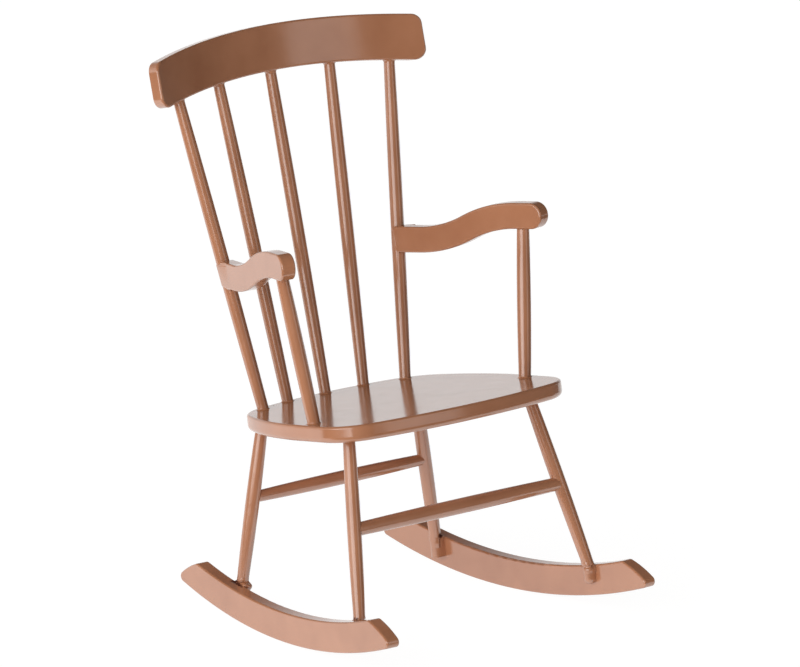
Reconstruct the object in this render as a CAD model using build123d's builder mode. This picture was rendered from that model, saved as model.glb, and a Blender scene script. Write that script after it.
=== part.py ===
"""Doll-size spindle-back rocking chair, all metal, lacquered in one colour.

Every piece is laid out with the seat level: X to the sitter's left, Y to the
rear, Z up, with Y = 0 at the arm posts and Z = 0 at the lowest line of the
rockers' circle.  At the end the whole chair is tipped back to the pitch at
which it comes to rest on its rockers.  Its origin is then the point of the
floor right below its centre of mass.
"""
import os
from math import atan, atan2, cos, degrees, radians, sin, sqrt, tan

from build123d import *

# ------------------------------------------------------------------ sizes, mm
fit_gap = 0.03              # between a rod and its socket, all round
edge_round = 0.4            # softened edges of every flat bar

# seat: one flat plate, straight-sided at the front and drawn in to the rear
seat_top = 45.4             # seat surface above the lowest line of the rockers' circle
seat_thickness = 3.4
seat_front = -16.7          # front edge on the centre line
seat_waist = 3.0            # the sides begin to draw in here
seat_rear = 33.9            # rear edge on the centre line
seat_width = 59.2           # over the straight part of the sides
seat_rear_width = 44.2      # between the rear corners, before they are rounded
seat_front_radius = 97.0    # the bowed front edge
seat_rear_radius = 70.0     # the bowed rear edge
seat_front_corner = 9.0     # corner radii
seat_rear_corner = 12.0
seat_top_round = 0.5
seat_bottom_round = 1.2
seat_socket_depth = 1.5     # rods enter the plate this far, from either side

# back: five raked spindles under a bowed and arched crest rail
spindle_middle_inset = 1.95 # feet, forward of the seat's rearmost point
spindle_inner_inset = 2.05
spindle_outer_inset = 5.1
spindle_base_margin = 3.9   # outer foot, in from the end of seat_rear_width
spindle_top_margin = 6.95   # outer head, in from the crest's end
spindle_base_share = 0.533  # inner feet, as a share of the outer ones' distance
spindle_top_share = 0.526   # inner heads
spindle_foot_diameter = 2.35
spindle_belly_diameter = 2.78
spindle_head_diameter = 2.3
back_height = 66.6          # seat surface to the crest's lower edge, up the slope
back_rake = 5.4             # degrees that the back leans from square to the seat
crest_length = 67.5
crest_depth = 9.4
crest_thickness = 3.0
crest_bow_radius = 84.0     # seen from above, hollow to the front
crest_arch_radius = 157.0   # seen from the front, low at the ends
crest_corner = 2.2
crest_socket_depth = 2.4

# arms: flat bars on edge, an S in side view, hollowed to meet the outer spindles
arm_height = 28.4           # seat surface to the arm's middle line at its rear
arm_droop = 1.7             # degrees that both ends slope down to the front
arm_rise_start = 6.5        # from the outer spindle, along the arm
arm_rise = 5.2              # of the S from there to the arm post
arm_overhang = 5.3          # the rounded front end beyond the arm post's axis
arm_depth = 5.35
arm_thickness = 3.0
arm_rear_in = 0.4           # the arm's middle plane inside the outer spindle's axis
arm_post_out = 0.3          # and outside the arm post's axis
arm_end_gap = 0.6           # from the outer spindle's axis forward to the arm's end
post_base_margin = 2.7      # arm posts' feet, in from the seat's sides
post_lean = 3.7             # their tops, out from their feet
post_foot_diameter = 2.55
post_belly_diameter = 2.88
post_head_diameter = 2.45
post_tenon_diameter = 1.6   # the turned down end that enters the arm
post_tenon_length = 2.0

# legs: splayed rods from the seat down onto lugs on the rockers' inner faces
front_leg_margin = 6.6      # where the rod's line meets the underside, in from the side
front_leg_inset = 10.9      # and to the rear of the seat's foremost point
front_leg_rake = 5.2        # how far its foot stands forward of that
front_foot_in = 0.65        # from the rocker's inner face in to the foot's middle
rear_leg_margin = 2.4       # in from the end of seat_rear_width
rear_leg_inset = 6.0        # forward of the seat's rearmost point
rear_leg_rake = 5.7         # how far its foot stands to the rear of that
rear_foot_in = 1.32
leg_head_diameter = 2.45
leg_belly_diameter = 2.88
leg_foot_diameter = 2.3
foot_pin_length = 1.2       # the pin under each foot, down into its lug

# stretchers: side to side, coped to the legs and pinned into them
front_stretcher_height = 24.1
front_stretcher_end = 2.7
front_stretcher_belly = 3.16
rear_stretcher_height = 27.9
rear_stretcher_end = 2.3
rear_stretcher_belly = 2.86
pin_diameter = 1.4          # of the turned down ends that enter legs and lugs
pin_depth = 0.9             # a stretcher's, past the leg's near side

# rockers: plates on edge, cut to one circle below, toed out to the front
rocker_radius = 129.0       # of the sole
rocker_centre_back = -0.2   # the centre of that circle
rocker_depth = 6.3
rocker_thickness = 3.0
rocker_margin = 0.6         # inner face, in from the seat's sides, at Y = 0
rocker_toe_out = 4.93       # degrees
rocker_front_angle = 12.3   # from the circle's lowest point to the front tip
rocker_rear_angle = 24.1
rocker_end_slant = 45.0     # degrees that each end is cut back from square
rocker_end_bulge = 0.45     # of that cut, at its middle
rocker_tip_round = 1.1
rocker_shoulder_round = 1.6
lug_width = 2.4             # round-nosed lugs, down from the rocker's upper edge
front_lug_length = 3.7
rear_lug_length = 4.3
lug_round = 0.9             # their lower ends

# ------------------------------------------------- places that follow the seat
spindle_middle_back = seat_rear - spindle_middle_inset
spindle_inner_back = seat_rear - spindle_inner_inset
spindle_outer_back = seat_rear - spindle_outer_inset
spindle_outer_base = seat_rear_width / 2 - spindle_base_margin
spindle_inner_base = spindle_outer_base * spindle_base_share
spindle_outer_top = crest_length / 2 - spindle_top_margin
spindle_inner_top = spindle_outer_top * spindle_top_share
post_base_side = seat_width / 2 - post_base_margin
post_top_side = post_base_side + post_lean
front_leg_side = seat_width / 2 - front_leg_margin
front_leg_back = seat_front + front_leg_inset
front_foot_back = front_leg_back - front_leg_rake
rear_leg_side = seat_rear_width / 2 - rear_leg_margin
rear_leg_back = seat_rear - rear_leg_inset
rear_foot_back = rear_leg_back + rear_leg_rake
rocker_side = seat_width / 2 - rocker_margin

up = Vector(0, 0, 1)
sideways = Vector(1, 0, 0)


# ------------------------------------------------------------ lines and points
def sagitta(radius, across):
    """How far a circle has dropped away at this distance across."""
    return radius - sqrt(radius**2 - across**2)


def at_height(line, height):
    """The point of a line at this height."""
    start, end = line
    return start + (end - start) * ((height - start.Z) / (end.Z - start.Z))


def direction(line):
    start, end = line
    return (end - start).normalized()


crest_up = up.rotate(Axis.X, -back_rake)
crest_back = crest_up.cross(sideways)
crest_foot = Vector(0, spindle_middle_back, seat_top) + crest_up * back_height


def spindle_line(base_side, base_back, top_side):
    """From the seat up to the lower edge of the crest rail."""
    bow = crest_back * sagitta(crest_bow_radius, top_side)
    arch = crest_up * sagitta(crest_arch_radius, top_side)
    return Vector(base_side, base_back, seat_top), crest_foot + sideways * top_side - bow - arch


outer_spindle = spindle_line(spindle_outer_base, spindle_outer_back, spindle_outer_top)
spindle_lines = [
    spindle_line(-spindle_outer_base, spindle_outer_back, -spindle_outer_top),
    spindle_line(-spindle_inner_base, spindle_inner_back, -spindle_inner_top),
    spindle_line(0, spindle_middle_back, 0),
    spindle_line(spindle_inner_base, spindle_inner_back, spindle_inner_top),
    outer_spindle,
]

# the left rocker's plane: X along the plate to the rear, Y up, Z outwards
along_rocker = Vector(0, 1, 0).rotate(Axis.Z, rocker_toe_out)
rocker_plane = Plane(origin=sideways * rocker_side, x_dir=along_rocker, z_dir=along_rocker.cross(up))
sole_centre = Vector(rocker_centre_back / along_rocker.Y, rocker_radius)


def leg_line(foot_back, foot_in, side, back):
    """From the level of the left rocker's upper edge up to the seat's underside."""
    run = foot_back / along_rocker.Y
    upper_edge = rocker_depth + sagitta(rocker_radius - rocker_depth, run - sole_centre.X)
    inner_face = rocker_plane.origin + along_rocker * run + up * upper_edge
    return inner_face - rocker_plane.z_dir * foot_in, Vector(side, back, seat_top - seat_thickness)


front_leg_line = leg_line(front_foot_back, front_foot_in, front_leg_side, front_leg_back)
rear_leg_line = leg_line(rear_foot_back, rear_foot_in, rear_leg_side, rear_leg_back)

# the left arm's plane: X forward along the arm, Y up, Z towards the sitter
spindle_crossing = at_height(outer_spindle, seat_top + arm_height)
arm_rear = spindle_crossing - sideways * arm_rear_in
arm_span = Vector(post_top_side + arm_post_out, 0, arm_rear.Z) - arm_rear
arm_rise_run = arm_span.length - post_belly_diameter / 2 - arm_rise_start
arm_side = arm_span.normalized().cross(up)
arm_forward = arm_span.normalized().rotate(Axis((0, 0, 0), arm_side), -arm_droop)
arm_plane = Plane(origin=arm_rear, x_dir=arm_forward, z_dir=arm_side)

# the arm's underside at its front, and the post that carries it there
under_arm = Plane(
    origin=arm_plane.from_local_coords((0, arm_rise - arm_depth / 2)),
    z_dir=arm_plane.y_dir,
)
post_offset = Vector(post_top_side, 0, 0) - under_arm.origin
post_top = Vector(post_top_side, 0, -post_offset.dot(under_arm.z_dir) / under_arm.z_dir.Z)
post_line = (Vector(post_base_side, 0, seat_top), post_top)


# ------------------------------------------------------------- repeated shapes
def barrel(line, foot, belly, head):
    """Add a round rod along a line, a little thicker in its middle."""
    start, end = line
    length = (end - start).length
    across = Plane(origin=start, z_dir=direction(line)).x_dir
    with BuildSketch(Plane(origin=start, x_dir=across, z_dir=across.cross(direction(line)))) as half:
        with BuildLine():
            Polyline((foot / 2, 0), (0, 0), (0, length), (head / 2, length))
            ThreePointArc((foot / 2, 0), (belly / 2, length / 2), (head / 2, length))
        make_face()
    revolve(half.sketch, axis=Axis(start, direction(line)))


def pin(start, along, diameter, length, mode=Mode.ADD):
    """Add a straight round pin, or cut one out."""
    with BuildSketch(Plane(origin=start, z_dir=along)) as section:
        Circle(diameter / 2)
    extrude(section.sketch, amount=length, mode=mode)


def socket(mouth, inward, diameter, depth):
    """Cut a blind hole for a pin, its mouth open to the outside."""
    run_out = diameter
    pin(mouth - inward * run_out, inward, diameter + 2 * fit_gap, run_out + depth + fit_gap, Mode.SUBTRACT)


def leg_barrel(line, gap=0.0):
    """Add a leg's rod, or with a gap the room that it needs."""
    grow = 2 * gap
    barrel(line, leg_foot_diameter + grow, leg_belly_diameter + grow, leg_head_diameter + grow)


def mirrored(half):
    """The same piece for the other side of the chair."""
    with BuildPart() as other:
        mirror(half.part, about=Plane.YZ)
    return other


pieces = {}

# ------------------------------------------------------------------------ seat
half_width = seat_width / 2
half_rear = seat_rear_width / 2
front_corner = Vector(half_width, seat_front + sagitta(seat_front_radius, half_width))
rear_corner = Vector(half_rear, seat_rear - sagitta(seat_rear_radius, half_rear))
with BuildPart() as seat:
    with BuildSketch(Plane.XY.offset(seat_top - seat_thickness)) as plate:
        with BuildLine():
            ThreePointArc((-front_corner.X, front_corner.Y), (0, seat_front), (front_corner.X, front_corner.Y))
            Line((front_corner.X, front_corner.Y), (half_width, seat_waist))
            TangentArc((half_width, seat_waist), (rear_corner.X, rear_corner.Y), tangent=(0, 1))
            ThreePointArc((rear_corner.X, rear_corner.Y), (0, seat_rear), (-rear_corner.X, rear_corner.Y))
            TangentArc((-half_width, seat_waist), (-rear_corner.X, rear_corner.Y), tangent=(0, 1))
            Line((-half_width, seat_waist), (-front_corner.X, front_corner.Y))
        make_face()
        fillet(plate.vertices().sort_by(Axis.Y)[:2], seat_front_corner)
        fillet(plate.vertices().sort_by(Axis.Y)[-2:], seat_rear_corner)
    extrude(amount=seat_thickness)
    fillet(seat.faces().sort_by(Axis.Z)[-1].edges(), seat_top_round)
    fillet(seat.faces().sort_by(Axis.Z)[0].edges(), seat_bottom_round)
    for line in spindle_lines:
        socket(line[0], -direction(line), spindle_foot_diameter, seat_socket_depth)
    for side in (1, -1):
        for line, diameter in (
            (post_line, post_foot_diameter),
            (front_leg_line[::-1], leg_head_diameter),
            (rear_leg_line[::-1], leg_head_diameter),
        ):
            mouth, far_end = (Vector(side * point.X, point.Y, point.Z) for point in line)
            socket(mouth, (mouth - far_end).normalized(), diameter, seat_socket_depth)
pieces["seat"] = seat

# ------------------------------------------------------------------ back
for number, line in enumerate(spindle_lines, start=1):
    with BuildPart() as spindle:
        barrel(line, spindle_foot_diameter, spindle_belly_diameter, spindle_head_diameter)
        pin(line[0], -direction(line), spindle_foot_diameter, seat_socket_depth)
        pin(line[1], direction(line), spindle_head_diameter, crest_socket_depth)
    pieces[f"spindle_{number}"] = spindle

crest_section = Plane(origin=crest_foot, x_dir=sideways, z_dir=crest_up)
crest_face = Plane(origin=crest_foot, x_dir=sideways, z_dir=-crest_back)
with BuildPart() as crest_rail:
    with BuildSketch(crest_section):
        with Locations((0, -crest_bow_radius)):
            Circle(crest_bow_radius + crest_thickness / 2)
            Circle(crest_bow_radius - crest_thickness / 2, mode=Mode.SUBTRACT)
    extrude(amount=crest_length / 2, both=True)
    with BuildSketch(crest_face) as front_view:
        with Locations((0, -crest_arch_radius)):
            Circle(crest_arch_radius + crest_depth)
            Circle(crest_arch_radius, mode=Mode.SUBTRACT)
        Rectangle(crest_length, crest_length, mode=Mode.INTERSECT)
        fillet(front_view.vertices(), crest_corner)
    extrude(amount=crest_length / 2, both=True, mode=Mode.INTERSECT)
    fillet(crest_rail.faces().sort_by(SortBy.AREA)[-2:].edges(), edge_round)
    for line in spindle_lines:
        socket(line[1], direction(line), spindle_head_diameter, crest_socket_depth)
pieces["crest_rail"] = crest_rail

# ------------------------------------------------------------------------ arms
bend = 2 * atan(arm_rise / arm_rise_run)
bend_radius = arm_rise_run / (2 * sin(bend))
arm_end = Plane(
    origin=spindle_crossing + arm_forward * arm_end_gap,
    z_dir=direction(outer_spindle).cross(arm_plane.z_dir),
)
with BuildPart() as arm_left:
    with BuildSketch(arm_plane):
        with BuildLine():
            rear = Line((-arm_depth, 0), (arm_rise_start, 0))
            lift = JernArc(rear @ 1, rear % 1, bend_radius, degrees(bend))
            level = JernArc(lift @ 1, lift % 1, bend_radius, -degrees(bend))
            Line(level @ 1, (arm_span.length + arm_overhang - arm_depth / 2, arm_rise))
            offset(amount=arm_depth / 2, side=Side.BOTH)
        make_face()
    extrude(amount=arm_thickness / 2, both=True)
    fillet(arm_left.faces().sort_by(SortBy.AREA)[-2:].edges(), edge_round)
    split(bisect_by=arm_end, keep=Keep.TOP)
    pin(
        spindle_crossing - direction(outer_spindle) * arm_depth,
        direction(outer_spindle),
        spindle_belly_diameter + 2 * fit_gap,
        2 * arm_depth,
        Mode.SUBTRACT,
    )
    socket(post_top, direction(post_line), post_tenon_diameter, post_tenon_length)
pieces["arm_left"] = arm_left
pieces["arm_right"] = mirrored(arm_left)

with BuildPart() as arm_post_left:
    post_end = post_top + direction(post_line) * post_tenon_length
    barrel((post_line[0], post_end), post_foot_diameter, post_belly_diameter, post_head_diameter)
    with BuildSketch(under_arm) as above:
        with Locations(under_arm.to_local_coords(post_top)):
            Circle(arm_depth)
    extrude(above.sketch, amount=arm_depth, mode=Mode.SUBTRACT)
    pin(post_line[0], -direction(post_line), post_foot_diameter, seat_socket_depth)
    pin(post_top, direction(post_line), post_tenon_diameter, post_tenon_length)
pieces["arm_post_left"] = arm_post_left
pieces["arm_post_right"] = mirrored(arm_post_left)

# ------------------------------------------------- legs, stretchers and rockers
leg_sets = {
    "front": (front_leg_line, front_stretcher_height, front_stretcher_end, front_stretcher_belly),
    "rear": (rear_leg_line, rear_stretcher_height, rear_stretcher_end, rear_stretcher_belly),
}
pin_start = leg_belly_diameter / 2 - pin_depth
for place, (line, height, end_diameter, belly_diameter) in leg_sets.items():
    joint = at_height(line, height)
    # the rod runs on past its foot and is cut off level there, to stand on its lug
    with BuildPart() as leg:
        leg_barrel((line[0] - direction(line) * leg_foot_diameter / 2, line[1]))
        split(bisect_by=Plane(origin=line[0], z_dir=up), keep=Keep.TOP)
        pin(line[0], -up, pin_diameter, foot_pin_length)
        pin(line[1], direction(line), leg_head_diameter, seat_socket_depth)
        socket(joint - sideways * pin_start, sideways, pin_diameter, 0)
    pieces[f"leg_{place}_left"] = leg
    pieces[f"leg_{place}_right"] = mirrored(leg)

    with BuildPart() as leg_room:
        leg_barrel(line, fit_gap)
    with BuildPart() as stretcher:
        barrel((Vector(-joint.X, joint.Y, joint.Z), joint), end_diameter, belly_diameter, end_diameter)
        add(leg_room.part, mode=Mode.SUBTRACT)
        add(mirrored(leg_room).part, mode=Mode.SUBTRACT)
        reach = joint.X - pin_start
        pin(joint - sideways * (joint.X + reach), sideways, pin_diameter, 2 * reach)
    pieces[f"stretcher_{place}"] = stretcher

end_cut = degrees(rocker_depth * tan(radians(rocker_end_slant)) / (rocker_radius - rocker_depth))


def on_rocker(angle, depth):
    """A point of the left rocker's side view: degrees to the rear, depth above the sole."""
    return sole_centre + Vector(0, depth - rocker_radius).rotate(Axis.Z, angle)


def bulged(start, end):
    """The middle of an end cut that runs from start to end with the plate on its left."""
    return (start + end) / 2 + (end - start).normalized().rotate(Axis.Z, -90) * rocker_end_bulge


with BuildPart() as lugs:
    for line, foot_in, length in (
        (front_leg_line, front_foot_in, front_lug_length),
        (rear_leg_line, rear_foot_in, rear_lug_length),
    ):
        inner_face = line[0] + rocker_plane.z_dir * foot_in
        lug_foot = Plane(origin=inner_face - up * length, x_dir=along_rocker, z_dir=up)
        with BuildSketch(lug_foot) as section:
            with Locations((0, foot_in)):
                Circle(lug_width / 2)
            with Locations((0, (foot_in - lug_width / 2) / 2)):
                Rectangle(lug_width, foot_in + lug_width / 2)
        extrude(section.sketch, amount=length)
    fillet(lugs.faces().filter_by(Axis.Z).group_by(Axis.Z)[0].edges(), lug_round)
    fillet(lugs.faces().filter_by(Axis.Z).group_by(Axis.Z)[1].edges(), lug_round)
    with BuildSketch(rocker_plane) as above_edge:
        with Locations(sole_centre):
            Circle(rocker_radius - rocker_depth)
    extrude(above_edge.sketch, amount=rocker_thickness, mode=Mode.SUBTRACT)
with BuildPart() as rocker_left:
    with BuildSketch(rocker_plane) as side_view:
        with BuildLine():
            front_tip = on_rocker(-rocker_front_angle, 0)
            rear_tip = on_rocker(rocker_rear_angle, 0)
            front_shoulder = on_rocker(end_cut - rocker_front_angle, rocker_depth)
            rear_shoulder = on_rocker(rocker_rear_angle - end_cut, rocker_depth)
            ThreePointArc(front_tip, on_rocker(0, 0), rear_tip)
            ThreePointArc(rear_tip, bulged(rear_tip, rear_shoulder), rear_shoulder)
            ThreePointArc(rear_shoulder, on_rocker(0, rocker_depth), front_shoulder)
            ThreePointArc(front_shoulder, bulged(front_shoulder, front_tip), front_tip)
        make_face()
        fillet(side_view.vertices().sort_by_distance(sole_centre)[:2], rocker_shoulder_round)
        fillet(side_view.vertices().sort_by_distance(sole_centre)[-2:], rocker_tip_round)
    extrude(amount=rocker_thickness)
    fillet(rocker_left.faces().sort_by(SortBy.AREA)[-2:].edges(), edge_round)
    add(lugs.part)
    for foot, _ in (front_leg_line, rear_leg_line):
        socket(foot, -up, pin_diameter, foot_pin_length)
pieces["rocker_left"] = rocker_left
pieces["rocker_right"] = mirrored(rocker_left)

# ---------------------------------------------------------- tipped back to rest
# All pieces are of one metal, so volumes stand for masses.  The chair rests
# with its centre of mass straight above the line on which its soles touch the
# floor; a toed-out sole touches on its outer edge.
volume = sum(piece.part.volume for piece in pieces.values())
centre = sum((p.part.center(CenterOf.MASS) * p.part.volume for p in pieces.values()), Vector()) / volume
toe_out = radians(rocker_toe_out)
sole_edge = rocker_thickness - edge_round
lever = centre.Y - rocker_centre_back - sole_edge * sin(toe_out)
rise = rocker_radius * cos(toe_out) ** 2 - centre.Z
rest_pitch = degrees(atan2(lever, rise))
tipped_centre = centre.rotate(Axis.X, -rest_pitch)
sole = rocker_left.part.rotate(Axis.X, -rest_pitch).bounding_box().min.Z
standing = Location((0, -tipped_centre.Y, -sole)) * Location((0, 0, 0), (-rest_pitch, 0, 0))

os.makedirs("parts", exist_ok=True)
for name, piece in pieces.items():
    piece.part.move(standing)
    piece.part.label = name
    export_step(piece.part, f"parts/{name}.step")
print(f"rests tipped back {rest_pitch:.2f} degrees, centre of mass {tipped_centre.Z - sole:.2f} mm up")
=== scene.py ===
# %% [markdown]
# # A doll's spindle-back rocking chair in enamelled metal
#
# The real chair is 115 mm high.  Round rods and flat bars are soldered
# together, the whole chair is dipped or sprayed in one thick terracotta
# enamel, and the enamel is stoved.  Three things make it look real:
#
# * the enamel is as glossy as glass, but not quite flat ("orange peel"),
# * it runs into every joint and dries there as a small hollow fillet,
# * where the legs meet the rockers the solder was left as it ran, with dark
#   pits beside it; there the dark colour is also painted shade in the crevices
#   and a painted shadow line below the legs' ends.
#
# The solid shapes come finished from the imported model, so this lesson is about
# those three things, the light, and the camera.

from math import cos, pi, sin

import bpy
import numpy
from mathutils import Matrix, Vector, noise
from mathutils.bvhtree import BVHTree


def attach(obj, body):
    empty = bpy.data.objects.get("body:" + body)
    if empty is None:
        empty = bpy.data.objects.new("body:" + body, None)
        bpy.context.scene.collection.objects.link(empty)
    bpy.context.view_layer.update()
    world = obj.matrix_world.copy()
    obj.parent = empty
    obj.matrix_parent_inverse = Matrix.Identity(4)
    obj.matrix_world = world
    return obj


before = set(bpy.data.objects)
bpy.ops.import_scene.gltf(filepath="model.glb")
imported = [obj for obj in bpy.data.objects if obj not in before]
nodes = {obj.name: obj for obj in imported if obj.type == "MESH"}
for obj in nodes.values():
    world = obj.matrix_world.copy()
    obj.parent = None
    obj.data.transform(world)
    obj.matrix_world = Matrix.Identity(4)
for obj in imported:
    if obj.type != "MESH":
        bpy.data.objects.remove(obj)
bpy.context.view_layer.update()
MM = 0.001

# %% [markdown]
# ## Where the camera stands
#
# The view is a long-lens one, about two metres off: seen from far away, the
# upright edges of so small a thing stay nearly parallel.  A camera is described
# by where it is, its three directions, and its focal length.  Written out like
# this the view can be checked number by number; an aim-at-the-object constraint
# would hide them.

# %% Camera
PICTURE_WIDTH = 800
SENSOR_WIDTH = 36.0
FOCAL_PIXELS = 9940.24
camera_place = Vector((-1.180611, -1.527149, 0.606289))
camera_right = Vector((0.7893, -0.6140, -0.0016)).normalized()
camera_forward = Vector((0.5903, 0.7594, -0.2735)).normalized()
camera_up = camera_right.cross(camera_forward).normalized()

lens = bpy.data.cameras.new("camera")
lens.sensor_width = SENSOR_WIDTH
lens.lens = FOCAL_PIXELS / PICTURE_WIDTH * SENSOR_WIDTH
lens.clip_start = 0.05
lens.clip_end = 20.0
camera = bpy.data.objects.new("camera", lens)
turn = Matrix((camera_right, camera_up, -camera_forward)).transposed()
camera.matrix_world = Matrix.Translation(camera_place) @ turn.to_4x4()
bpy.context.scene.collection.objects.link(camera)
bpy.context.scene.camera = camera
bpy.context.scene.view_settings.view_transform = "Standard"
print(f"lens {lens.lens:.1f} mm, {camera_place.length:.2f} m away")

# %% [markdown]
# ## Writing shader maths as sums
#
# A finish is a network of small nodes.  Wiring them one by one hides what is
# being worked out, so one small class wraps a socket: adding or multiplying
# two wires adds the Math node that does it.  Everything else comes from
# `Finish.add`, which takes a node's type, its settings and its sockets.

# %% Wires
class Wire:
    """A number or colour on its way from one node to the next."""

    def __init__(self, finish, socket):
        self.finish = finish
        self.socket = socket

    def maths(self, operation, first, second):
        return self.finish.add("ShaderNodeMath", {"operation": operation}, {0: first, 1: second})

    def __add__(self, other):
        return self.maths("ADD", self, other)

    __radd__ = __add__

    def __sub__(self, other):
        return self.maths("SUBTRACT", self, other)

    def __rsub__(self, other):
        return self.maths("SUBTRACT", other, self)

    def __mul__(self, other):
        return self.maths("MULTIPLY", self, other)

    __rmul__ = __mul__


print("wires can be added, subtracted and multiplied")


# %% Finishes
class Finish:
    """A material or world whose nodes are added one at a time."""

    def __init__(self, owner):
        self.owner = owner
        owner.use_nodes = True
        self.tree = owner.node_tree
        self.tree.nodes.clear()

    def add(self, kind, settings=None, sockets=None, out=0):
        node = self.tree.nodes.new(kind)
        for name, value in (settings or {}).items():
            if name == "stops":
                set_stops(node.color_ramp, value)
            else:
                setattr(node, name, value)
        for name, value in (sockets or {}).items():
            if isinstance(value, Wire):
                self.tree.links.new(value.socket, node.inputs[name])
            else:
                node.inputs[name].default_value = value
        return Wire(self, node.outputs[out]) if len(node.outputs) else None


def set_stops(ramp, stops):
    """Put a ramp's stops at the places given, each with its grey level."""
    while len(ramp.elements) < len(stops):
        ramp.elements.new(1.0)
    for element, (place, level) in zip(ramp.elements, stops):
        element.position = place
        element.color = (level, level, level, 1.0)


print("finishes take any node from one method")

# %% [markdown]
# ## Measuring a rod
#
# To put enamel where a rod meets a plate, the rod's axis and thickness must be
# known there.  They could be typed in again, but the solid already has them.
# The long direction of its points gives a first axis.  Then rays are sent in
# from all round: the middle of where they land lies on the true axis.

# %% The pieces' skins
def skin(node):
    """The node's surface, ready for rays."""
    mesh = nodes[node].data
    points = [vertex.co for vertex in mesh.vertices]
    return BVHTree.FromPolygons(points, [tuple(face.vertices) for face in mesh.polygons])


def around(along, count):
    """So many directions square to this one, evenly all round it, each with its angle."""
    first = along.orthogonal().normalized()
    second = along.cross(first).normalized()
    for step in range(count):
        angle = 2 * pi * step / count
        yield angle, first * cos(angle) + second * sin(angle)


skins = {name: skin(name) for name in nodes}
print(len(skins), "skins")

# %% A gauge for rods
GAUGE_RAYS = 24
GAUGE_REACH = 6 * MM
END_SHARE = 0.15  # the gauge stays this share of the length away from both ends


class Rod:
    """A straight round rod, measured from its solid."""

    def __init__(self, node):
        self.node = node
        points = numpy.array([vertex.co for vertex in nodes[node].data.vertices])
        middle = points.mean(axis=0)
        _, _, directions = numpy.linalg.svd(points - middle, full_matrices=False)
        self.along = Vector(directions[0])
        if self.along.z < 0:
            self.along = -self.along
        self.start = Vector(middle)
        low, high = self.reach_of(points)
        below, _ = self.section(low + (high - low) * END_SHARE)
        above, _ = self.section(high - (high - low) * END_SHARE)
        self.along = (above - below).normalized()
        self.start = (above + below) / 2
        self.low, self.high = self.reach_of(points)

    def reach_of(self, points):
        """How far the points reach along the axis, below and above its start."""
        distances = (points - numpy.array(self.start)) @ numpy.array(self.along)
        return distances.min(), distances.max()

    def section(self, distance):
        """The rod's middle and radius this far along it."""
        near = self.start + self.along * distance
        landings = []
        for _, outward in around(self.along, GAUGE_RAYS):
            start = near + outward * GAUGE_REACH
            landing = skins[self.node].ray_cast(start, -outward, 2 * GAUGE_REACH)[0]
            if landing:
                landings.append(landing)
        middle = sum(landings, Vector()) / len(landings)
        return middle, sum((spot - middle).length for spot in landings) / len(landings)


ROD_NAMES = ("spindle", "arm_post", "leg", "stretcher")
rods = {name: Rod(name) for name in nodes if name.startswith(ROD_NAMES)}
for name in ("spindle_3", "leg_front_left"):
    print(name, f"is {rods[name].section(0)[1] * 2 / MM:.2f} mm thick in its middle")

# %% [markdown]
# ## Pieces made from points
#
# Enamel and solder have no flat sides and no centre line, so their shapes are
# worked out point by point.  What is the same for all of them is put together
# once: a list of points and of faces becomes a mesh, its fronts are turned
# outwards, and the faces that show are shaded smooth.

# %% From points to a piece
def new_piece(name, points, faces, smooth):
    """An object with these faces, each shaded smooth or not."""
    mesh = bpy.data.meshes.new(name)
    mesh.from_pydata(points, [], faces)
    mesh.update()
    mesh.polygons.foreach_set("use_smooth", smooth)
    mesh.validate()
    turn_fronts_out(mesh)
    piece = bpy.data.objects.new(name, mesh)
    bpy.context.scene.collection.objects.link(piece)
    return piece


def turn_fronts_out(mesh):
    """A closed mesh has a volume above zero when its faces look outwards."""
    volume = 0.0
    for face in mesh.polygons:
        corners = [mesh.vertices[index].co for index in face.vertices]
        for second, third in zip(corners[1:], corners[2:]):
            volume += corners[0].dot(second.cross(third))
    if volume < 0:
        mesh.flip_normals()


def ring_piece(name, sections, shown_sides):
    """Join cross-sections into a closed ring; only its first sides show."""
    count = len(sections[0])
    points = [point for section in sections for point in section]
    faces = []
    for turn_number in range(len(sections)):
        here = turn_number * count
        after = (turn_number + 1) % len(sections) * count
        for side in range(count):
            beyond = (side + 1) % count
            faces.append((here + side, here + beyond, after + beyond, after + side))
    smooth = [face % count < shown_sides for face in range(len(faces))]
    return new_piece(name, points, faces, smooth)


print("pieces can be made from points")

# %% [markdown]
# ## Enamel in the joints
#
# Wet enamel creeps into a corner and stands there in a hollow curve.  A bevel
# can't do this, because rod and plate are separate solids, and a voxel remesh
# would melt the sharp edges elsewhere.  So each pool is its own small ring.
# All round the rod a ray goes down its side to find the corner; the ring
# starts a little up the rod, dips towards the corner, and ends a little out on
# the plate.  Its curve leaves both along their own surfaces, so no seam shows.

# %% The corner between a rod and its target
CORNER_RAYS = 12
ROD_CLEARANCE = 0.05 * MM


def corner_height(rod, towards, target):
    """The rod's middle and radius where its axis passes the target's surface."""
    distances = []
    for _, outward in around(rod.along, CORNER_RAYS):
        beside = rod.start + outward * 1.6 * MM
        landing = skins[target].ray_cast(beside, towards, 80 * MM)[0]
        if landing:
            distances.append((landing - rod.start).dot(rod.along))
    return rod.section(sum(distances) / len(distances))


def corner_beside(middle, radius, towards, outward, target):
    """Where the rod's side meets the target, and the target's direction there."""
    start = middle - towards * 6 * MM + outward * (radius + ROD_CLEARANCE)
    corner, facing, _, _ = skins[target].ray_cast(start, towards, 14 * MM)
    if corner is None:
        corner, facing, _, _ = skins[target].find_nearest(middle + outward * radius)
    if facing.dot(towards) > 0:
        facing = -facing
    return corner, facing


seat_corner, thickness = corner_height(rods["spindle_3"], -rods["spindle_3"].along, "seat")
print(f"spindle_3 meets the seat {seat_corner.z / MM:.1f} mm up, {thickness * 2 / MM:.2f} mm thick")

# %% One pool of enamel
POOL_AROUND = 56
POOL_STEPS = 7
UNEVENNESS = 0.12
SINK = 0.012 * MM  # a rim ends this deep in the metal, so that no gap shows
coats = []


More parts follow.
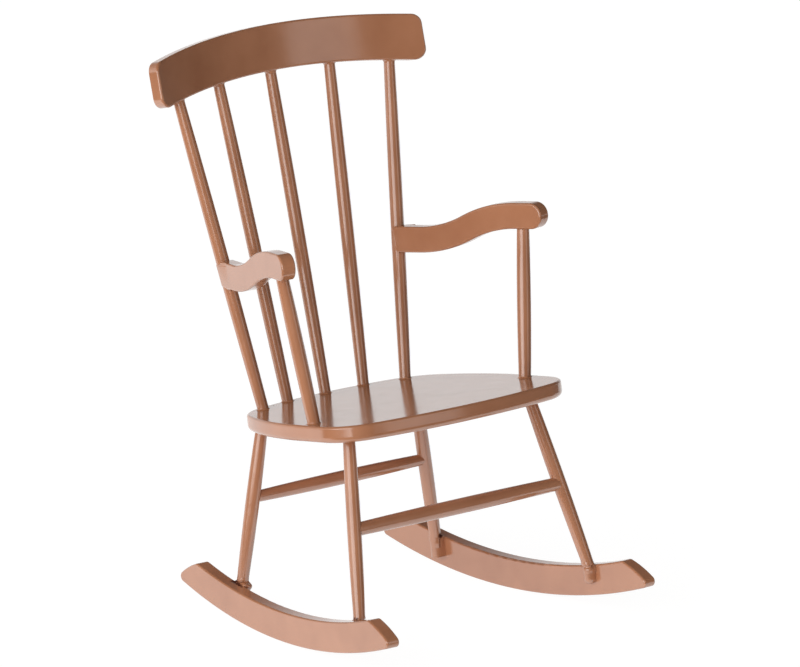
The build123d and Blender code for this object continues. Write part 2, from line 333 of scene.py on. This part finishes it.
def pool(rod_name, end, target, climb, spread, seed):
    """A hollow fillet where one end of a rod meets the surface of another node."""
    rod = rods[rod_name]
    towards = rod.along if end == "high" else -rod.along
    middle, radius = corner_height(rod, towards, target)
    sections = []
    for angle, outward in around(rod.along, POOL_AROUND):
        grain = noise.noise(Vector((2 * cos(angle), 2 * sin(angle), seed))) * 2
        reach = 1 + UNEVENNESS * grain
        corner, facing = corner_beside(middle, radius, towards, outward, target)
        flat = (outward - facing * outward.dot(facing)).normalized()
        rim = skins[target].find_nearest(corner + flat * spread * reach)[0] - facing * SINK
        up_rod = (corner - middle).dot(rod.along) + (middle - rod.start).dot(rod.along)
        top_distance = up_rod - towards.dot(rod.along) * climb * reach
        top_middle, top_radius = rod.section(top_distance)
        top = top_middle + outward * (top_radius - SINK)
        elbow = corner - outward * ROD_CLEARANCE
        curve = []
        for step in range(POOL_STEPS + 1):
            share = step / POOL_STEPS
            curve.append(top * (1 - share) ** 2 + elbow * 2 * share * (1 - share) + rim * share**2)
        inside = corner - outward * 0.25 * MM - facing * 0.15 * MM
        sections.append(curve + [inside])
    coats.append(ring_piece(f"enamel_{rod_name}_{end}_{target}", sections, POOL_STEPS))


print("a pool has", POOL_AROUND, "cross-sections")

# %% Pools under and over the plates
for number in range(1, 6):
    pool(f"spindle_{number}", "low", "seat", 0.45 * MM, 0.40 * MM, seed=number)
    pool(f"spindle_{number}", "high", "crest_rail", 0.55 * MM, 0.38 * MM, seed=number + 10)
for side in ("left", "right"):
    pool(f"arm_post_{side}", "low", "seat", 0.45 * MM, 0.42 * MM, seed=21)
    pool(f"arm_post_{side}", "high", f"arm_{side}", 0.35 * MM, 0.25 * MM, seed=23)
    for place in ("front", "rear"):
        pool(f"leg_{place}_{side}", "high", "seat", 0.5 * MM, 0.45 * MM, seed=25)
print(len(coats), "pools under and over the plates")

# %% [markdown]
# ## Where a stretcher meets a leg
#
# Here the ring has to follow a round rod, not a plate.  The same rays do it:
# the corner is found on the leg, and the rim is the leg's nearest point to a
# step sideways, so the ring wraps round the leg by itself.

# %% Stretcher pools
for place in ("front", "rear"):
    left_end, right_end = "low", "high"
    if rods[f"stretcher_{place}"].along.x > 0:
        left_end, right_end = "high", "low"
    for side, end in (("left", left_end), ("right", right_end)):
        pool(f"stretcher_{place}", end, f"leg_{place}_{side}", 0.6 * MM, 0.5 * MM, seed=31)
print(len(coats), "pools with the stretchers'")

# %% [markdown]
# ## Solder at the feet
#
# Each leg stands on a round-nosed lug of the rocker, and solder has been run
# round the joint and not cleaned off.  Under the enamel it is a smooth, slightly
# lumpy sleeve that bridges leg and lug.  A sculpted lump would have to be fitted
# to each foot by hand, so the sleeve is made like a skin: all round, at each
# level, a ray looks for the metal from outside, and the skin lies over what it
# finds by a height that slow noise makes uneven.  A bulge to one side stands for
# the drop that ran together there.

# %% The metal at a foot
THINNEST_METAL = 0.9 * MM
WIDEST_METAL = 1.7 * MM
PIN_LENGTH = 1.2 * MM


def fade(value, start, end):
    """0 before start, 1 after end, smooth between."""
    share = min(1.0, max(0.0, (value - start) / (end - start)))
    return share * share * (3 - 2 * share)


def foot_skin(side, place, point, outward):
    """The outer surface of the leg or the rocker, whichever reaches further out."""
    best = THINNEST_METAL
    for name in (f"leg_{place}_{side}", f"rocker_{side}"):
        landing = skins[name].ray_cast(point + outward * WIDEST_METAL, -outward, WIDEST_METAL)[0]
        if landing:
            best = max(best, (landing - point).dot(outward))
    return point + outward * best


def foot_of(rod):
    """Where the leg stands on its lug; its pin goes on down from there."""
    return rod.section(rod.low + 2 * PIN_LENGTH)[0] - rod.along * PIN_LENGTH


feet = {}
for side in ("left", "right"):
    for place in ("front", "rear"):
        feet[f"{place}_{side}"] = foot_of(rods[f"leg_{place}_{side}"])
        print(place, side, "foot at", [round(value / MM, 2) for value in feet[f"{place}_{side}"]])

# %% Sleeves of solder
SLEEVE_AROUND = 64
SLEEVE_ROWS = 20
LUMPINESS = 0.9
BULGE_SIDE = Vector((0.79, -0.61, 0))


def solder_at_foot(place, side, seed, thickness, climb, drop, bulge):
    """A sleeve from climb above the foot to drop below it."""
    rod = rods[f"leg_{place}_{side}"]
    foot = feet[f"{place}_{side}"]
    middle = foot - Vector((0, 0, 0.2 * MM))
    sections = []
    for step in range(SLEEVE_AROUND):
        angle = 2 * pi * step / SLEEVE_AROUND
        outward = Vector((cos(angle), sin(angle), 0))
        to_side = max(0.0, outward.dot(BULGE_SIDE)) ** 2
        section = []
        for row in range(SLEEVE_ROWS + 1):
            share = row / SLEEVE_ROWS
            level = climb - share * (climb + drop)
            slope = rod.along * (level / rod.along.z) if level > 0 else Vector((0, 0, level))
            metal = foot_skin(side, place, foot + slope, outward)
            spot = Vector((1.3 * cos(angle), 1.3 * sin(angle), level / MM * 0.7 + seed))
            lump = 1 + LUMPINESS * noise.noise(spot)
            bulging = fade(level, -2.4 * MM, -1.3 * MM) * (1 - fade(level, -0.9 * MM, 0.1 * MM))
            body = fade(share, 0.0, 0.4) * (1 - fade(share, 0.6, 1.0))
            height = (thickness * lump + bulge * to_side * bulging) * body
            section.append(metal + outward * (height - SINK * (1 - fade(body, 0.0, 0.1))))
        core = [section[-1], section[SLEEVE_ROWS // 2], section[0]]
        sections.append(section + [middle.lerp(point, 0.72) for point in core])
    coats.append(ring_piece(f"solder_{place}_{side}", sections, SLEEVE_ROWS))


# in millimetres: thickness, climb, drop and bulge
FOOT_SOLDER = {
    ("front", "left"): (0.10, 1.3, 1.5, 0.0),
    ("front", "right"): (0.09, 1.0, 1.4, 0.25),
    ("rear", "left"): (0.10, 1.4, 2.2, 0.0),
    ("rear", "right"): (0.06, 1.2, 2.4, 0.55),
}
for number, ((place, side), sizes) in enumerate(FOOT_SOLDER.items()):
    solder_at_foot(place, side, 3.7 * number, *(size * MM for size in sizes))
    print(coats[-1].name, [round(value / MM, 1) for value in coats[-1].dimensions])

# %% [markdown]
# ## A run of solder
#
# On the right rocker solder also ran along the plate's upper edge in front of
# the rear foot and set there.  Such a run has no sides of its own, only a
# rounded back, so it is a flattened ball with slow noise, sunk into the plate so
# far that only its back stands out.

# %% A run of solder on the rocker
RUN_RINGS = 14
RUN_AROUND = 28


def run_of_solder(name, middle, half_sizes, seed):
    """A flattened ball whose size slow noise makes uneven."""
    points = []
    for ring in range(1, RUN_RINGS):
        tilt = pi * ring / RUN_RINGS
        for step in range(RUN_AROUND):
            angle = 2 * pi * step / RUN_AROUND
            way = Vector((sin(tilt) * cos(angle), sin(tilt) * sin(angle), cos(tilt)))
            size = 1 + 0.35 * noise.noise(way * 1.6 + Vector((seed, 0, 0)))
            points.append(middle + way * half_sizes * size)
    top, bottom = len(points), len(points) + 1
    up = Vector((0, 0, half_sizes.z))
    points += [middle + up, middle - up]
    faces = []
    for step in range(RUN_AROUND):
        beyond = (step + 1) % RUN_AROUND
        faces.append((top, step, beyond))
        for ring in range(RUN_RINGS - 2):
            here, below = ring * RUN_AROUND, (ring + 1) * RUN_AROUND
            faces.append((here + step, below + step, below + beyond, here + beyond))
        last = (RUN_RINGS - 2) * RUN_AROUND
        faces.append((bottom, last + beyond, last + step))
    return new_piece(name, points, faces, [True] * len(faces))


run_middle = feet["rear_right"] + Vector((-0.9, -0.9, -0.12)) * MM
run = run_of_solder("solder_rear_right_run", run_middle, Vector((1.1, 2.1, 0.42)) * MM, 5.0)
coats.append(run)
print(run.name, [round(value / MM, 1) for value in run.dimensions])

# %% [markdown]
# ## Where an arm meets its spindle
#
# The arm's rear end is hollowed to fit the spindle, and solder and enamel have
# bridged the step between them: the arm's flat faces run on over the spindle's
# sides and die away behind it.  Joining the two solids and rounding the seam
# would round the arm's own edges too.  So the collar is drawn as a
# cross-section, seen along the spindle: a ramp over the arm's outer face, half a
# turn round the spindle, and a shorter ramp on the inner face.  It is repeated
# at each level and drawn in at the arm's upper and lower edges.

# %% Measuring an arm at its spindle
def arm_face(arm, centre, away):
    """How far the arm's face on this side lies from the spindle's axis, and its direction."""
    start = centre + Vector((0, -3 * MM, 0)) + away * 6 * MM
    landing, facing, _, _ = arm.ray_cast(start, -away, 8 * MM)
    if facing.dot(away) < 0:
        facing = -facing
    return (landing - centre).dot(facing), facing


def arm_middle(rod, arm):
    """How far along the spindle the middle of the arm's rear end lies."""
    ahead = Vector((0, -2.5 * MM, 0))
    crossings = []
    for way in (rod.along, -rod.along):
        start = rod.start + ahead - way * 60 * MM
        landing = arm.ray_cast(start, way, 120 * MM)[0]
        crossings.append((landing - rod.start).dot(rod.along))
    return sum(crossings) / 2


ARM_SPINDLES = {"left": "spindle_5", "right": "spindle_1"}
for side, spindle_name in ARM_SPINDLES.items():
    distance = arm_middle(rods[spindle_name], skins[f"arm_{side}"])
    print(f"arm_{side} meets {spindle_name} {distance / MM:.1f} mm along from its middle")

# %% The collar's cross-section
RAMP_LENGTH = 4.5 * MM
INNER_RAMP_LENGTH = 1.2 * MM
RAMP_STEPS = 16
RAMP_DEPTH = 0.45 * MM
FLAT_LENGTH = 0.5 * MM
FLAT_STEPS = 4
TURN_START = 0.35  # radians past square, where the flat goes over into the turn
TURN_STEPS = 28
COAT = 0.03 * MM
SKIM = 0.01 * MM


def collar_outline(radius, rod_out, outer_face, inner_face):
    """Points ahead and outwards of the collar's middle, each with the solder's depth there."""
    foot = outer_face - SINK
    flat = max(outer_face + SKIM, rod_out + radius + COAT)
    points = []
    for step in range(RAMP_STEPS):
        share = step / RAMP_STEPS
        out = foot + (flat - foot) * fade(share, 0, 1)
        points.append((Vector((RAMP_LENGTH * (1 - share), out)), RAMP_DEPTH))
    for step in range(FLAT_STEPS):
        points.append((Vector((-FLAT_LENGTH * step / FLAT_STEPS, flat)), RAMP_DEPTH))
    for step in range(TURN_STEPS + 1):
        share = step / TURN_STEPS
        angle = pi / 2 + TURN_START + (pi - TURN_START) * share
        thickness = COAT + 3 * COAT * (1 - fade(share, 0, 0.25))
        reach = radius + thickness
        turned = Vector((reach * cos(angle), rod_out + reach * sin(angle)))
        points.append((turned, thickness + 2 * COAT))
    cover = radius + COAT - rod_out
    for step in range(1, RAMP_STEPS + 1):
        share = step / RAMP_STEPS
        out = cover + (inner_face + SKIM - cover) * fade(share, 0, 0.8)
        points.append((Vector((INNER_RAMP_LENGTH * share, -out)), RAMP_DEPTH))
    return points


print(len(collar_outline(1.4 * MM, 0, 1.2 * MM, 1.2 * MM)), "points to a cross-section")

# %% Collars round the outer spindles
ARM_HALF_DEPTH = 2.67 * MM
EDGE_DEPTH = 0.7 * MM  # above and below, the collar is drawn in over this depth
COLLAR_REACH = 2.75 * MM
COLLAR_ROWS = 40


def collar(side, spindle_name):
    """Solder that carries the arm's faces on round the spindle."""
    rod = rods[spindle_name]
    arm = skins[f"arm_{side}"]
    centre = rod.start + rod.along * arm_middle(rod, arm)
    away = Vector((1, 0, 0)) if centre.x > 0 else Vector((-1, 0, 0))
    outer_face, outward = arm_face(arm, centre, away)
    inner_face, _ = arm_face(arm, centre, -away)
    upward = (rod.along - outward * rod.along.dot(outward)).normalized()
    forward = upward.cross(outward)
    if forward.y > 0:
        forward = -forward
    sections = []
    for row in range(COLLAR_ROWS + 1):
        level = (row / COLLAR_ROWS * 2 - 1) * COLLAR_REACH
        along_rod = level / rod.along.dot(upward)
        axis_point, radius = rod.section((centre - rod.start).dot(rod.along) + along_rod)
        rod_out = (axis_point - centre).dot(outward)
        axis = Vector((0, rod_out))
        body = 1 - fade(abs(level), ARM_HALF_DEPTH - EDGE_DEPTH, COLLAR_REACH)
        shown = []
        hidden = []
        for skin_point, depth in collar_outline(radius, rod_out, outer_face, inner_face):
            from_axis = skin_point - axis
            inside = axis + from_axis * (1 - depth / from_axis.length)
            drawn = inside.lerp(skin_point, body)
            behind = inside - from_axis.normalized() * 0.05 * MM
            shown.append(centre + upward * level + forward * drawn.x + outward * drawn.y)
            hidden.append(centre + upward * level + forward * behind.x + outward * behind.y)
        sections.append(shown + hidden[::-1])
    return strip_piece(f"solder_arm_{side}", sections, len(shown) - 1)


def strip_piece(name, sections, shown_sides):
    """Join cross-sections into a closed strip, capped at both ends; its first sides show."""
    count = len(sections[0])
    points = [point for section in sections for point in section]
    faces = []
    smooth = []
    for row in range(len(sections) - 1):
        here, above = row * count, (row + 1) * count
        for side in range(count):
            beyond = (side + 1) % count
            faces.append((here + side, here + beyond, above + beyond, above + side))
            smooth.append(side < shown_sides)
    faces.append(tuple(range(count - 1, -1, -1)))
    faces.append(tuple((len(sections) - 1) * count + side for side in range(count)))
    return new_piece(name, points, faces, smooth + [False, False])


for side, spindle_name in ARM_SPINDLES.items():
    piece = collar(side, spindle_name)
    coats.append(piece)
    print(piece.name, [round(value / MM, 1) for value in piece.dimensions])

# %% [markdown]
# ## The enamel
#
# Stoved enamel is one opaque colour under a glass-hard, glass-clear surface, so
# a single glossy layer with a high index describes it; a separate clear coat
# would ignore the bumps, which here make the reflections waver.  The colour is
# worked out first: a slow drift in tone, as between thick and thin enamel.
# Where enamel never reached the metal, in pits beside the solder, a dull dark
# dirt shows instead; at the feet the same dark colour is also painted shade in
# the crevices between leg, lug and rocker, and a painted shadow line below the
# legs' ends.  A Mix Shader goes over from one to the other.

# %% Noise, easing and distance
def lumps_of(finish, place, size, detail=2.0):
    """Smooth noise with lumps of this size."""
    return finish.add("ShaderNodeTexNoise", {"noise_dimensions": "3D"}, {
        "Vector": place, "Scale": 1 / size, "Detail": detail, "Roughness": 0.5,
    })


def ease(finish, value, start, end, first, last):
    """The first level up to start, the last from end on, smooth between."""
    return finish.add("ShaderNodeMapRange", {"interpolation_type": "SMOOTHSTEP"}, {
        "Value": value, "From Min": start, "From Max": end, "To Min": first, "To Max": last,
    })


def distance_from(finish, place, spot):
    settings = {"operation": "DISTANCE"}
    return finish.add("ShaderNodeVectorMath", settings, {0: place, 1: spot}, out="Value")


print("noise, easing and distance ready")

# %% One enamel
TERRACOTTA = (0.500, 0.215, 0.110, 1.0)
DEEP_TERRACOTTA = (0.430, 0.176, 0.086, 1.0)
# a dark colour: a speck of dust on the seat, and at the feet painted shade in the crevices and a
# painted shadow line
DIRT_AND_PAINTED_SHADE = (0.080, 0.024, 0.015, 1.0)
ENAMEL_INDEX = 1.95
BUMP_HEIGHT = 0.012 * MM


def enamel(name, dark_spots_and_shade=()):
    """The enamel with dark spots; each spot is a place, the radius where it is full and the one
    where it ends. On the seat a spot is a speck of dust; at the feet spots are pits together with
    painted shade and painted shadow.
    """
    finish = Finish(bpy.data.materials.new(name))
    place = finish.add("ShaderNodeTexCoord", out="Object")
    thin_or_thick = {"stops": ((0.35, 0.0), (0.75, 1.0))}
    drift = finish.add("ShaderNodeValToRGB", thin_or_thick, {0: lumps_of(finish, place, 9 * MM)})
    tones = {0: drift, 6: TERRACOTTA, 7: DEEP_TERRACOTTA}
    colour = finish.add("ShaderNodeMix", {"data_type": "RGBA"}, tones, out=2)
    rough = 0.12 + 0.07 * lumps_of(finish, place, 4 * MM)
    peel = lumps_of(finish, place, 0.9 * MM, detail=1.0)
    height = peel * 0.3 + lumps_of(finish, place, 5 * MM, detail=1.0)
    # the mask of the dark spots: a real speck on the seat, and at the feet pits together with
    # painted shade and painted shadow
    if dark_spots_and_shade:
        dirt_and_shade = dirt_and_painted_shade_in(finish, place, dark_spots_and_shade)
        height = height - dirt_and_shade * 3.0
    bump = finish.add("ShaderNodeBump", None, {
        "Strength": 1.0, "Distance": BUMP_HEIGHT, "Height": height,
    })
    surface = finish.add("ShaderNodeBsdfPrincipled", None, {
        "Base Color": colour, "Roughness": rough, "Normal": bump, "IOR": ENAMEL_INDEX,
    })
    # a dull dark surface on those spots: dust on the seat, painted shade and painted shadow at the
    # feet
    if dark_spots_and_shade:
        dirt_and_shade_surface = finish.add("ShaderNodeBsdfDiffuse", None, {"Color": DIRT_AND_PAINTED_SHADE, "Normal": bump})
        surface = finish.add("ShaderNodeMixShader", None, {0: dirt_and_shade, 1: surface, 2: dirt_and_shade_surface})
    finish.add("ShaderNodeOutputMaterial", None, {"Surface": surface})
    return finish.owner


def dirt_and_painted_shade_in(finish, place, dark_spots_and_shade):
    """1 on the dark spots and the painted shade and 0 away from them, with ragged edges."""
    fine = lumps_of(finish, place, 0.5 * MM, detail=3.0)
    ragged = finish.add("ShaderNodeValToRGB", {"stops": ((0.32, 0.55), (0.52, 1.0))}, {0: fine})
    zone = sum(ease(finish, distance_from(finish, place, spot), inner, outer, 1.0, 0.0)
               for spot, inner, outer in dark_spots_and_shade)
    return finish.add("ShaderNodeClamp", None, {"Value": ragged * zone})


plain_enamel = enamel("enamel")
print(plain_enamel.name, "has", len(plain_enamel.node_tree.nodes), "nodes")

# %% Pits, painted shade and specks
# in millimetres, for each dark pit, patch of painted shade or bit of painted shadow line: how far
# it is from the foot, where it is full, where it ends
FOOT_PITS_AND_PAINTED_SHADE = {
    "rear_right": (
        ((-1.75, 0.55, 0.15), 0.50, 0.90),
        ((-1.88, -0.2, 0.07), 0.35, 0.72),
        ((-2.0, -1.0, 0.00), 0.30, 0.66),
        ((-2.12, -1.8, -0.07), 0.24, 0.60),
        ((-2.25, -2.6, -0.14), 0.12, 0.50),
        ((-1.15, -1.05, 0.22), 0.05, 0.28),
        ((-0.75, -1.30, 0.22), 0.05, 0.28),
    ),
    "rear_left": (
        ((0.45, -1.15, 0.45), 0.35, 0.75),
        ((0.06, -1.36, -0.30), 0.02, 0.24),
        ((0.02, -1.42, -0.60), 0.02, 0.24),
        ((0.0, -1.48, -0.90), 0.02, 0.23),
        ((0.0, -1.52, -1.20), 0.02, 0.23),
        ((0.0, -1.55, -1.50), 0.02, 0.22),
        ((0.0, -1.58, -1.80), 0.02, 0.22),
    ),
    "front_right": (
        ((-1.12, 0.10, 0.42), 0.15, 0.40),
        ((-0.97, -0.46, 0.46), 0.15, 0.38),
    ),
    "front_left": (
        ((-1.05, -0.4, 0.50), 0.05, 0.26),
        ((-0.6, -0.9, 0.36), 0.05, 0.26),
        ((-0.1, -1.15, 0.20), 0.08, 0.30),
    ),
}
foot_pits_and_painted_shade = [
    (feet[foot_name] + Vector(aside) * MM, inner * MM, outer * MM)
    for foot_name, dark_spots_and_shade in FOOT_PITS_AND_PAINTED_SHADE.items() for aside, inner, outer in dark_spots_and_shade
]
# the feet's enamel holds dark pits together with painted shade in the crevices and a painted shadow
# line below the legs
foot_enamel_with_painted_shade = enamel("enamel_at_the_feet_with_painted_shade", foot_pits_and_painted_shade)
seat_speck = (Vector((-14.22, 15.28, 41.27)) * MM, 0.09 * MM, 0.20 * MM)
seat_enamel = enamel("enamel_on_the_seat", [seat_speck])
print(len(foot_pits_and_painted_shade), "pits at the feet, one speck on the seat")

# %% Enamel on every piece
for name, node in nodes.items():
    node.data.materials.clear()
    if name == "seat":
        node.data.materials.append(seat_enamel)
    else:
        # rockers and legs take the enamel with the painted shade and shadow at the feet
        at_foot = name.startswith(("rocker", "leg"))
        node.data.materials.append(foot_enamel_with_painted_shade if at_foot else plain_enamel)
for piece in coats:
    # the solder at the feet takes the enamel with the painted shade and shadow too
    at_foot = piece.name.startswith(("solder_front", "solder_rear"))
    piece.data.materials.append(foot_enamel_with_painted_shade if at_foot else plain_enamel)
    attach(piece, "root")
print("enamel on", len(nodes), "solids and", len(coats), "coats")

# %% [markdown]
# ## The floor
#
# The chair stands on a plain white sweep.  It could be made white by pouring
# light on it, but that light would wash out the chair.  So the white is written
# into the floor's own colour: the camera sees mostly glowing paper, with enough
# lit paper in it to keep the chair's shadow.  The enamel's mirror sees a round
# white sheet that reaches from under the chair to behind it, white floor far
# behind, and dark floor elsewhere, which gives the crest rail and the seat their
# pale and brown parts.  For matt surfaces the floor glows a little.

# %% Floor
FLOOR_RADIUS = 3
FLOOR_AROUND = 96
floor_mesh = bpy.data.meshes.new("floor")
rim = []
for step in range(FLOOR_AROUND):
    angle = 2 * pi * step / FLOOR_AROUND
    rim.append((FLOOR_RADIUS * cos(angle), FLOOR_RADIUS * sin(angle), -0.01 * MM))
floor_mesh.from_pydata(rim, [], [tuple(range(FLOOR_AROUND))])
floor = bpy.data.objects.new("floor", floor_mesh)
bpy.context.scene.collection.objects.link(floor)
print("floor", floor.dimensions[:])

# %% The floor's white
WHITE = 1.17  # above 1, because only part of what the camera sees is the glow
DIM = 0.06
CAMERA_SHARE = 0.81
MATT_SHARE = 0.28
SHEET_MIDDLE = (0.10, 0.18, 0.0)
BACKWARDS = (0.59, 0.81, 0.0)


def share_along(finish, place, direction):
    settings = {"operation": "DOT_PRODUCT"}
    return finish.add("ShaderNodeVectorMath", settings, {0: place, 1: direction}, out="Value")


sweep = Finish(bpy.data.materials.new("white_sweep"))
seen = sweep.add("ShaderNodeLightPath", out="Is Camera Ray")
mirrored = sweep.add("ShaderNodeLightPath", out="Is Glossy Ray")
paper = sweep.add("ShaderNodeBsdfDiffuse", None, {"Color": (0.82, 0.82, 0.82, 1.0)})
white = sweep.add("ShaderNodeEmission", None, {"Color": (1, 1, 1, 1), "Strength": WHITE})
dim = sweep.add("ShaderNodeEmission", None, {"Color": (1, 1, 1, 1), "Strength": DIM})
spot = sweep.add("ShaderNodeTexCoord", out="Object")
sheet = ease(sweep, distance_from(sweep, spot, SHEET_MIDDLE), 0.262, 0.292, 1.0, 0.0)
far_floor = ease(sweep, share_along(sweep, spot, BACKWARDS), 0.25, 0.35, 0.0, 1.0)
pale = sweep.add("ShaderNodeMath", {"operation": "MAXIMUM"}, {0: sheet, 1: far_floor})
glow_share = MATT_SHARE + seen * (CAMERA_SHARE - MATT_SHARE)
lit = sweep.add("ShaderNodeMixShader", None, {0: glow_share, 1: paper, 2: white})
in_mirror = sweep.add("ShaderNodeMixShader", None, {0: pale, 1: dim, 2: white})
shown = sweep.add("ShaderNodeMixShader", None, {0: mirrored, 1: lit, 2: in_mirror})
sweep.add("ShaderNodeOutputMaterial", None, {"Surface": shown})
floor_mesh.materials.append(sweep.owner)
print("white sweep has", len(sweep.tree.nodes), "nodes")

# %% [markdown]
# ## The room
#
# Behind the chair the room is bright low down, in front it is dim, and to the
# sitter's right it glows.  More lamps could do this, but each would show in the
# enamel as a hard bright patch.  The world's own colour can differ by direction
# and by kind of ray: white to the camera, bright behind to the mirror, and the
# soft glow to matt light alone.

# %% Room
world = Finish(bpy.context.scene.world or bpy.data.worlds.new("room"))
bpy.context.scene.world = world.owner
ray = world.add("ShaderNodeTexCoord", out="Generated")
behind = share_along(world, ray, (-0.35, 0.94, 0.0))
bright_side = ease(world, behind, -0.30, 0.25, 0.0, 1.0)
height = world.add("ShaderNodeSeparateXYZ", None, {0: ray}, out="Z")
low_down = ease(world, height, 0.04, 0.46, 1.0, 0.0)
lamp_side = share_along(world, ray, (-0.94, -0.33, 0.1))
side_glow = ease(world, lamp_side, 0.4, 1.0, 0.0, 1.4)
to_camera = world.add("ShaderNodeLightPath", out="Is Camera Ray")
to_mirror = world.add("ShaderNodeLightPath", out="Is Glossy Ray")
in_mirrors = 0.05 + bright_side * low_down * 0.95
on_matt = 0.01 + bright_side * 0.34 + side_glow
level = to_camera + (1 - to_camera) * (to_mirror * in_mirrors + (1 - to_mirror) * on_matt)
glow = world.add("ShaderNodeBackground", None, {"Color": (1, 1, 1, 1), "Strength": level})
world.add("ShaderNodeOutputWorld", None, {"Surface": glow})
print("room has", len(world.tree.nodes), "nodes")

# %% [markdown]
# ## The lamps
#
# One large soft lamp stands far round to the sitter's right and lights the flat
# sides; its size keeps its mirror image on the rods broad and mild, where a
# small lamp would draw a thin white line.  A tall, faint panel in front puts a
# pale band on the seat's front edge.  How bright a lamp looks in a mirror
# depends on its power and its area, so the brightness is asked for and the power
# is worked out.

# %% Lamps
LAMP_AIM = Vector((0, 0, 0.055))


def soft_lamp(name, direction, distance, width, height, radiance):
    """A rectangular lamp that looks at the chair, as bright as asked when seen in a mirror."""
    data = bpy.data.lights.new(name, "AREA")
    data.shape = "RECTANGLE"
    data.size = width
    data.size_y = height
    data.energy = radiance * pi * width * height
    lamp = bpy.data.objects.new(name, data)
    lamp.location = LAMP_AIM + Vector(direction).normalized() * distance
    lamp.rotation_euler = (LAMP_AIM - lamp.location).to_track_quat("-Z", "Y").to_euler()
    bpy.context.scene.collection.objects.link(lamp)
    return lamp


side_lamp = soft_lamp("side_lamp", (-0.955, -0.295, 0.20), 0.8, 0.80, 0.55, 2.05)
front_panel = soft_lamp("front_panel", (0.353, -0.913, 0.22), 0.9, 0.34, 0.60, 0.7)
print(f"side lamp {side_lamp.data.energy:.2f} W, front panel {front_panel.data.energy:.2f} W")
